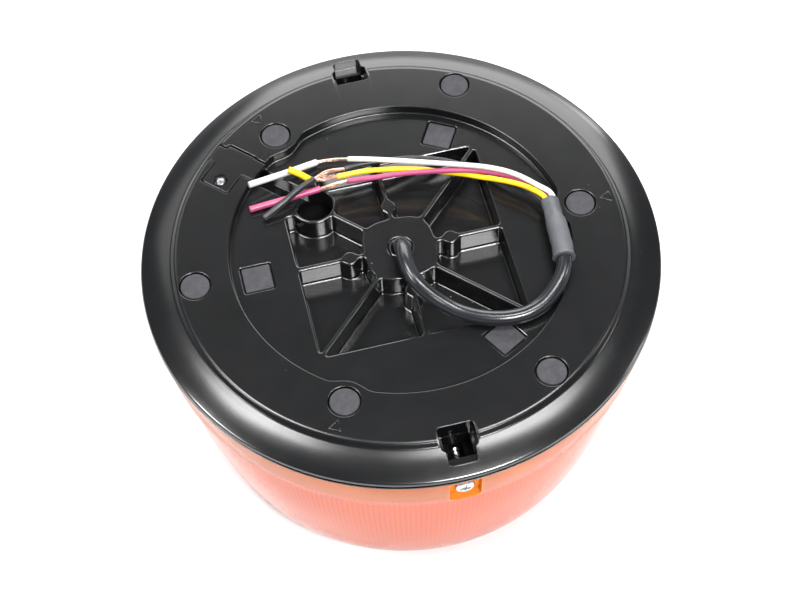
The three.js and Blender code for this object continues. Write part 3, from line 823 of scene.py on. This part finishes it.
def make_cords():
    jacket_path = smooth_path(JACKET_ROUTE, 1.0)
    jacket = sweep("cable_sheath", jacket_path, SHEATH_RADIUS, 28, SHEATH)
    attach(jacket, "body")
    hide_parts("cable_jacket")

    sleeve_path = smooth_path(SLEEVE_ROUTE, 0.3)

    def waist(t, a):
        step = 1 / (1 + math.exp(-(t - 0.66) * 42))
        radius = 3.66 * (1 - step) + 3.05 * step
        lobes = 0.14 * step * math.cos(4 * a + 0.6)
        ripple = 0.05 * math.sin(31 * t + 2 * math.cos(a)) + 0.04 * math.sin(17 * t + 3 * a)
        lip = 0.35 * max(0, 1 - t / 0.045) * (1 + 0.35 * math.sin(7 * a) * math.sin(3 * a + 1))
        return (radius + lobes + ripple + lip) / 3.65
    sleeve = sweep("shrink_sleeve", sleeve_path, 3.65, 48, SHRINK, waist, 0.3)
    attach(sleeve, "body")
    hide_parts("heat_shrink_sleeve")

    row_points(jacket_path)

    for number, (color, (run, bare, slug)) in enumerate(LEAD_ROUTES.items()):
        run_path = smooth_path(run, 0.8)
        bare_path = smooth_path(bare, 0.4)
        slug_path = smooth_path(slug, 0.8)
        parts = [sweep("run", run_path, LEAD_RADIUS, SIDES_OF_CORD, LEAD_COLORS[color], None, 0.12)]
        parts += strands("strand", bare_path, 40 + number, SPREAD[color])
        parts.append(sweep("slug", slug_path, SLUG_RADIUS, SIDES_OF_CORD, LEAD_COLORS[color], None, 0.12))
        lead = join(f"{color}_lead", *parts)
        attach(lead, "body")
        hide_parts(f"lead_{color}", f"slug_{color}")
        whole = np.vstack([run_path, bare_path[1:], slug_path[1:]])
        tuple(row_points(run_path[:1])[0])
        row_points(whole)


make_cords()


# ---------------------------------------------------------------- base housing

def rim_depth(r):
    """Depth of the upper surface at a radius: flat face, rounded step, crowned rim."""
    return np.interp(r, [p[0] for p in RIM_PROFILE], [p[1] for p in RIM_PROFILE])


def make_rim_profile():
    profile = [(0.0, 0.0)]
    profile += arc(77.1, 3.0, 3.0, 90, 68, 6)
    profile += arc(77.92, 0.96, 0.8, 66, 45, 4)
    for p0, p1, p2, steps in (((79.35, 1.16), (79.61, 1.42), (80.1, 1.525), 7),
                              ((81.3, 1.78), (85.2, 2.61), (89.9, 4.7), 22)):
        p0, p1, p2 = np.array(p0), np.array(p1), np.array(p2)
        profile += [tuple((1 - t) ** 2 * p0 + 2 * t * (1 - t) * p1 + t * t * p2)
                    for t in np.linspace(0, 1, steps)]
    return profile


RIM_PROFILE = make_rim_profile()


def base_solid():
    edge = [(90.12, 4.84), (90.3, 5.05), (90.42, 5.32), (90.5, 5.7), (90.46, 5.95), (90.2, 6.1),
            (89.2, 6.15), (89.2, 7.25), (90.2, 7.3), (90.44, 7.42), (90.48, 7.8), (90.1, 8.0)]
    under = [(82.5, 8.0), (82.5, SPIGOT_DEPTH), (79.5, SPIGOT_DEPTH), (79.5, 10.6), (54.5, 10.6),
             (54.5, 15.0), (0.0, 15.0)]
    return lathe("base_moulding", RIM_PROFILE + edge + under, 400, BLACK)


def pocket_field():
    square = box_field(-SQUARE_HALF, -SQUARE_HALF, SQUARE_HALF, SQUARE_HALF, 1.6)
    kept = [hub_field]
    for k in range(8):
        kept.append(box_field(0, -RIB / 2, 60, RIB / 2, 0, 45 * k))
    for k in range(4):
        kept.append(circle_field(*polar(18, 90 * k), 2.8))
    kept.append(circle_field(-BORE_CENTRE, BORE_CENTRE, BORE_RADIUS + 1.4))
    kept.append(box_field(-40, 22.3, -22.3, 40, 1.5))
    return less(square, *kept, blend=1.3)


def cover_field(clearance):
    """Outline of the exit cover: neck, plate and screw ear, in the exit frame."""
    c = clearance
    parts = [
        box_field(57.6, -4.2 - 2 * c, 66, 3.9 + c, 0.3, 135),
        box_field(63.6 - c, -4.6 - 2 * c, 74.5 + c, 4.2 + c, 0.5, 135),
        box_field(70, -3.0 - 2 * c, 78 + c, 4.2 + c, 0.6, 135),
        box_field(63.6 - c, 0, 74.6 + c, 13.2 + c, 0.9, 135),
    ]
    return merge(*parts, blend=0.5)


def recess_field():
    recess = circle_field(0, 0, RECESS_RADIUS)
    bumps = [circle_field(*polar(BOLT_RADIUS, a), 7.8) for a in BOLT_ANGLES]
    return less(recess, *bumps, blend=3.0)


def window_field():
    wide = box_field(-6.1, -81.2, 6.1, -73.4, 1.3)
    narrow = box_field(-4.75, -86, 4.75, -76, 0.9)
    return merge(wide, narrow, blend=0.8)


def turned_field(field, degrees):
    return lambda x, y: field(*rotated(x, y, degrees))


def make_base():
    base = base_solid()
    for degrees in (0, 180):
        tool = block(-7.2, -82, 7.2, -70.6, 24, 10)
        turn_object(tool, degrees)
        combine(base, tool, operation="UNION")

    for outline in trace(recess_field(), (-62, -62), (62, 62), 0.8, 3.0, 4.0):
        combine(base, hollow(outline, RECESS_DEPTH, 0.4, 0.5, 0.6))
    seat = less(cover_field(0.3), circle_field(0, 0, RECESS_RADIUS - 1.6), blend=0.2)
    for outline in trace(seat, (-70, 26), (-32, 64), 0.4):
        combine(base, hollow(outline, SEAT_DEPTH, 0.36, 0.0, 0.0, None, 0.05))
    for outline in trace(pocket_field(), (-38, -38), (38, 38), 0.5, 5.0, 100):
        combine(base, shifted(hollow(outline, POCKET_DEPTH - RECESS_DEPTH, 0.65, 0.7, 1.2), RECESS_DEPTH))
    bore = trace(circle_field(-BORE_CENTRE, BORE_CENTRE, BORE_RADIUS), (-34, 16), (-16, 34), 0.5)[0]
    combine(base, shifted(hollow(bore, 9.7, 0.6, 0.5, 0.5), RECESS_DEPTH))
    channel = trace(box_field(37, -3.8, 76, 2.8, 0.5, 135), (-64, 16), (-16, 64), 0.4)[0]
    trough = shifted(hollow(channel, CHANNEL_DEPTH, 0.35, 0.3, 0.5), RECESS_DEPTH)
    for v in trough.data.vertices:
        if v.co.z < FACE_Z - (RECESS_DEPTH + 3) * MM:
            v.co.z -= (v.co.x + v.co.y) * math.tan(CHANNEL_TILT)
    combine(base, trough)
    hole = trace(circle_field(0, 0, HUB_HOLE_RADIUS), (-6, -6), (6, 6), 0.4)[0]
    combine(base, shifted(hollow(hole, 14, 0.5, 0.0, 0.0), RECESS_DEPTH))

    for degrees in BOLT_ANGLES + FOOT_ANGLES:
        radius = BOLT_RADIUS if degrees in BOLT_ANGLES else FOOT_RADIUS
        x, y = polar(radius, degrees)
        well = trace(circle_field(x, y, WELL_RADIUS), (x - 7, y - 7), (x + 7, y + 7), 0.5)[0]
        combine(base, hollow(well, WELL_DEPTH, 0.45, 0.0, 0.0))
    for degrees in FOOT_ANGLES:
        half = SQUARE_WELL_HALF
        field = box_field(SQUARE_PAD_RADIUS - half, -half, SQUARE_PAD_RADIUS + half, half, 0.7, degrees)
        x, y = polar(SQUARE_PAD_RADIUS, degrees)
        well = trace(field, (x - 9, y - 9), (x + 9, y + 9), 0.4)[0]
        combine(base, shifted(hollow(well, SQUARE_WELL_DEPTH, 0.4, 0.0, 0.0), RECESS_DEPTH))

    for degrees in (0, 180):
        field = turned_field(window_field(), degrees)
        y0, y1 = (-90, -70) if degrees == 0 else (70, 90)
        mouth = trace(field, (-9, y0), (9, y1), 0.4)[0]
        tools = [hollow(mouth, WINDOW_DEPTH, 0.35, 0.3, 0.5, rim_depth)]
        for x0, ya, x1, yb, deep in ((-4.75, -82.0, 4.75, -73.6, 13.0), (-2.3, -79.6, 2.3, -73.6, 21.0)):
            tool = block(x0, ya, x1, yb, deep, 3)
            turn_object(tool, degrees)
            tools.append(tool)
        combine(base, *tools)

    shade(base, 32)
    even_shading(base)
    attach(base, "body")
    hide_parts("base_housing")


def shifted(item, depth):
    for v in item.data.vertices:
        v.co.z -= depth * MM
    return item


def turn_object(item, degrees):
    c, s = math.cos(math.radians(degrees)), math.sin(math.radians(degrees))
    for v in item.data.vertices:
        x, y = v.co.x, v.co.y
        v.co.x, v.co.y = x * c - y * s, x * s + y * c
    return item


make_base()


# ---------------------------------------------------------------- cover, plugs, pads

def ridden(item, body, slot, *nodes):
    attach(item, body)
    if nodes:
        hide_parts(*nodes)
    return item


def make_cover():
    outline = trace(cover_field(0.0), (-70, 26), (-32, 64), 0.4)[0]
    cover = slab("exit_cover_plate", outline, 2.0, 0.0, 0.38, BLACK)
    front = trace(circle_field(0, 0, 58.9), (-60, -60), (60, 60), 1.0, 2.0, 3.0)[0]
    combine(cover, capped([np.column_stack([front[0], np.full(len(front[0]), d)]) for d in (4, -2)], "trim"))
    x, y = exit_point(*COVER_SCREW)
    bowl = [(0, 1.3), (1.6, 1.3), (2.0, 1.15), (2.5, 0.3), (2.8, 0.0), (3.2, -0.6), (0, -0.6)]
    dimple = lathe("dimple", bowl, 48, None, (x, y))
    hole = lathe("hole", [(0, 4), (1.4, 4), (1.4, 0.5), (0, 0.5)], 32, None, (x, y))
    combine(cover, dimple, hole)
    shade(cover, 32)
    even_shading(cover)
    ridden(cover, "exit_cover", "black_plastic", "cable_exit_cover")


def cross_cutter(size, deep, shallow):
    """Cross recess of a screw head, tapering with depth."""
    arms = []
    for turn in (0, 90):
        rings = []
        for scale, depth in ((1.0, shallow), (0.55, deep)):
            a, b = size * scale, size * 0.22 * (0.7 + 0.3 * scale)
            corners = [(-a, -b), (a, -b), (a, b), (-a, b)]
            rings.append(np.array([(*rotated(x, y, turn), depth) for x, y in corners]))
        arms.append(capped(rings, "arm"))
    return arms


def screw(name, head_radius, head_height, shank_radius, shank_length, thread, look=ZINC):
    """Pan-head screw, its axis up through the origin and its head top at depth 0."""
    head = [(0, 0.0), (head_radius * 0.55, 0.03)]
    head += arc(head_radius - head_height * 0.55, head_height * 0.58, head_height * 0.55, 80, 0, 6)
    head += [(head_radius, head_height * 0.92), (head_radius - 0.1, head_height), (shank_radius, head_height)]
    depth, turn = head_height + 0.4, 0
    while depth < head_height + shank_length - 0.5:
        head.append((shank_radius * (0.80 if turn % 2 else 1.0), depth))
        depth += thread / 2
        turn += 1
    end = head_height + shank_length
    head += [(shank_radius * 0.6, end), (0, end)]
    item = lathe(name, head, 40, look)
    combine(item, *cross_cutter(head_radius * 0.62, head_height * 0.75, -0.3))
    return item


def place_upright(item, x, y, depth):
    for v in item.data.vertices:
        v.co.x += x * MM
        v.co.y += y * MM
        v.co.z -= depth * MM
    return item


def lay_radial(item, radius, depth, degrees):
    """Turns an upright screw so that its head looks out along a radius."""
    for v in item.data.vertices:
        x, y, z = v.co.x, v.co.y, v.co.z - FACE_Z
        v.co.x, v.co.y, v.co.z = x, -(radius * MM + z), FACE_Z - depth * MM + y
    return turn_object(item, degrees)


def make_bush():
    """Rubber bush in the hub that the cable passes through, with a rounded lip."""
    bush = lathe("hub_bush", [(3.0, 14.8)] + arc(3.62, 4.3, 0.62, 180, 0, 12) + [(4.24, 14.8)], 64, BLACK)
    ridden(bush, "body", "gasket_rubber", "cable_grommet")


def make_screws():
    x, y = exit_point(*COVER_SCREW)
    small = screw("cover_fixing", 1.55, 0.8, 1.05, 5.4, 0.7, STEEL)
    place_upright(small, x, y, 0.5)
    ridden(small, "exit_cover", "zinc_steel", "cover_screw")
    for name, degrees in (("front", 0), ("rear", 180)):
        item = screw(f"skirt_screw_{name}", 3.4, 2.2, 1.9, 13.4, 1.3)
        lay_radial(item, 88.1, SCREW_DEPTH, degrees)
        ridden(item, f"lens_screw_{name}", "zinc_steel", f"lens_screw_{name}")


def round_pad(name, x, y, deep):
    profile = [(0, -0.05), (3.9, -0.02), (4.6, 0.02)] + arc(4.62, 0.4, 0.38, 90, 0, 4)
    profile += [(PAD_RADIUS, deep), (0, deep)]
    return lathe(name, profile, 64, PAD_GREY, (x, y))


def make_pads():
    for index, degrees in enumerate(BOLT_ANGLES):
        pad = round_pad(f"bolt_cap_{index + 1}", *polar(BOLT_RADIUS, degrees), PAD_DEPTH)
        ridden(pad, f"bolt_plug_{index + 1}", "grey_rubber", f"bolt_plug_{index + 1}")
    for index, degrees in enumerate(FOOT_ANGLES):
        pad = round_pad(f"round_foot_{index + 1}", *polar(FOOT_RADIUS, degrees), PAD_DEPTH)
        ridden(pad, "body", "grey_rubber", f"foot_pad_{index + 1}")
        half = 4.9
        field = box_field(SQUARE_PAD_RADIUS - half, -half, SQUARE_PAD_RADIUS + half, half, 0.45, degrees)
        x, y = polar(SQUARE_PAD_RADIUS, degrees)
        outline = trace(field, (x - 9, y - 9), (x + 9, y + 9), 0.4)[0]
        pad = slab(f"square_foot_{index + 1}", outline, 4.9, RECESS_DEPTH, 0.3, PAD_GREY)
        ridden(pad, "body", "grey_rubber", f"square_pad_{index + 1}")


def make_marks():
    """Raised triangle beside each bolt position, pointing at it."""
    bars = []
    for degrees in BOLT_ANGLES:
        corners = []
        for turn in (180, 60, -60):
            cx, cy = polar(MARK_RADIUS, degrees)
            dx, dy = polar(MARK_SIZE, degrees + turn)
            corners.append((cx + dx, cy + dy, -0.05))
        for a, b in zip(corners, corners[1:] + corners[:1]):
            bars.append(sweep("bar", np.array([a, b]), MARK_LINE, 12, BLACK, None, 0.12))
    marks = join("bolt_marks", *bars)
    ridden(marks, "body", "black_plastic")


make_cover()
make_bush()
make_screws()
make_pads()
make_marks()


# ---------------------------------------------------------------- lens and its gasket

def make_lens():
    per_rib = 4
    outside = [(89.0, 9.95), (89.0, 11.6), (88.4, 12.3), (88.4, 24.4), (88.15, 25.1), (87.6, 25.5),
               (86.6, 25.9), (86.15, 27.5)]
    dome = [(86.0, 28), (84.8, 43), (83, 57), (80.6, 71), (77.4, 86), (74.9, 93.6), (72, 97.5),
            (67.5, 100.1), (60, 101.5), (48, 102)]
    outside += [tuple(p[:2]) for p in smooth_path([(r, d, 0) for r, d in dome], 2.4)]
    inside = [(48, 99), (64, 97.6), (70, 94), (73.8, 87), (77.4, 71), (79.8, 57), (81.6, 43),
              (82.9, 30.5), (83, 29), (83, 9.95)]
    profile = [(0, 102)] + outside[::-1] + inside[::-1] + [(0, 99)]
    first = len(outside) + 1 + 2
    last = len(profile) - 4

    def wobble(index, i):
        return 0.38 * (0, 0.5, 1, 0.5)[i % per_rib] if first < index < last else 0
    item = lathe("lens_dome", profile, LENS_RIBS * per_rib, AMBER, wobble=wobble)
    for degrees in (0, 180):
        side = [(SCREW_POCKET_HALF, 13.0), (SCREW_POCKET_HALF, 22.6), (4.9, 23.9), (3.6, 24.4)]
        outline = [(-x, d) for x, d in side] + side[::-1]
        rings = [np.array([(x, y, d) for x, d in outline]) for y in (-85.6, -96)]
        combine(item, turn_object(upright(rings), degrees))
    shade(item, 30)
    ridden(item, "body", "amber_lens", "lens")
    seal = lathe("lens_seal", [(83.4, 8.3), (89.2, 8.3), (89.4, 8.5), (89.4, 9.4), (89.2, 9.6), (83.4, 9.6)],
                 240, SEAL_BLACK)
    ridden(seal, "body", "gasket_rubber", "lens_gasket")


def upright(rings):
    """A prism whose ends are two rings in vertical planes."""
    n = len(rings[0])
    verts = np.vstack(rings)
    faces = [(i, (i + 1) % n, n + (i + 1) % n, n + i) for i in range(n)]
    faces += [tuple(range(n)), tuple(range(n, 2 * n))]
    return mesh_object("prism", metres(verts), faces)


make_lens()


# ---------------------------------------------------------------- carried-over CAD nodes

CAD_LOOKS = {
    "cable_tie": NYLON, "cable_connector": NYLON, "board_header": NYLON,
    "driver_board": BOARD_GREEN, "capacitor_1": SLEEVE_BLUE, "capacitor_2": SLEEVE_BLUE,
    "inductor": FERRITE, "heat_sink": ALUMINIUM, "optic_ring": OPTIC, "tower_cap": BOARD_WHITE,
    "cap_screw": ZINC,
    **{f"led_board_{i}": BOARD_WHITE for i in range(1, 7)},
    **{f"board_screw_{i}": ZINC for i in range(1, 5)},
}
for node, look in CAD_LOOKS.items():
    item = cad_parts[node]
    item.data.materials.clear()
    item.data.materials.append(look)
    shade(item, 30)


# ---------------------------------------------------------------- floor and light

# Name, azimuth, elevation, distance, width, height and radiance of each light.
STUDIO_LIGHTS = (
    ("front", -76, 52, 1.4, 0.48, 0.22, 62),
    ("left", -177, 42, 1.4, 0.40, 0.18, 28),
    ("right", -10, 32, 1.4, 0.24, 0.20, 16),
    ("overhead_left", 155, 67.4, 1.5, 0.32, 0.46, 23),
    ("overhead_right", -2, 76, 1.5, 0.30, 0.62, 21),
    ("back", 71, 29, 1.6, 1.45, 0.95, 5.0),
    ("back_left", 113, 40, 1.6, 0.60, 0.55, 1.6),
)


def soft_box(name, azimuth, elevation, distance, width, height, radiance):
    """Rectangular light seen from the beacon at an azimuth and elevation in degrees."""
    data = bpy.data.lights.new(name, "AREA")
    data.shape = "RECTANGLE"
    data.size, data.size_y = width, height
    data.energy = 4 * width * height * radiance
    item = bpy.data.objects.new(name, data)
    away = Vector((*polar(math.cos(math.radians(elevation)), azimuth), math.sin(math.radians(elevation))))
    item.location = Vector((0, 0, FACE_Z)) + away * distance
    item.rotation_euler = (-away).to_track_quat("-Z", "Y").to_euler()
    bpy.context.scene.collection.objects.link(item)


def make_stage():
    half = 1.2
    corners = [(-half, -half, 0), (half, -half, 0), (half, half, 0), (-half, half, 0)]
    floor = mesh_object("studio_floor", corners, [(0, 1, 2, 3)])
    m = Nodes("pale_floor")
    m.dress(Base_Color=m.tone((2, 2, 0.5), (0.74, 0.74, 0.74), (0.76, 0.76, 0.76)))
    m.put(Roughness=0.9, Specular_IOR_Level=0.1)
    floor.data.materials.append(m.material)
    world = bpy.data.worlds.new("studio")
    bpy.context.scene.world = world
    world.use_nodes = True
    tree = world.node_tree
    background = tree.nodes["Background"]
    background.inputs["Color"].default_value = (0.93, 0.95, 1.0, 1)
    direction = tree.nodes.new("ShaderNodeTexCoord")
    split = tree.nodes.new("ShaderNodeSeparateXYZ")
    fade = tree.nodes.new("ShaderNodeMapRange")
    for key, value in (("From Min", 0.06), ("From Max", 0.30), ("To Min", 1.25), ("To Max", 0.12)):
        fade.inputs[key].default_value = value
    tree.links.new(direction.outputs["Generated"], split.inputs[0])
    tree.links.new(split.outputs["Z"], fade.inputs["Value"])
    tree.links.new(fade.outputs[0], background.inputs["Strength"])
    for light in STUDIO_LIGHTS:
        soft_box(*light)
    bpy.context.scene.view_settings.view_transform = "Standard"


make_stage()
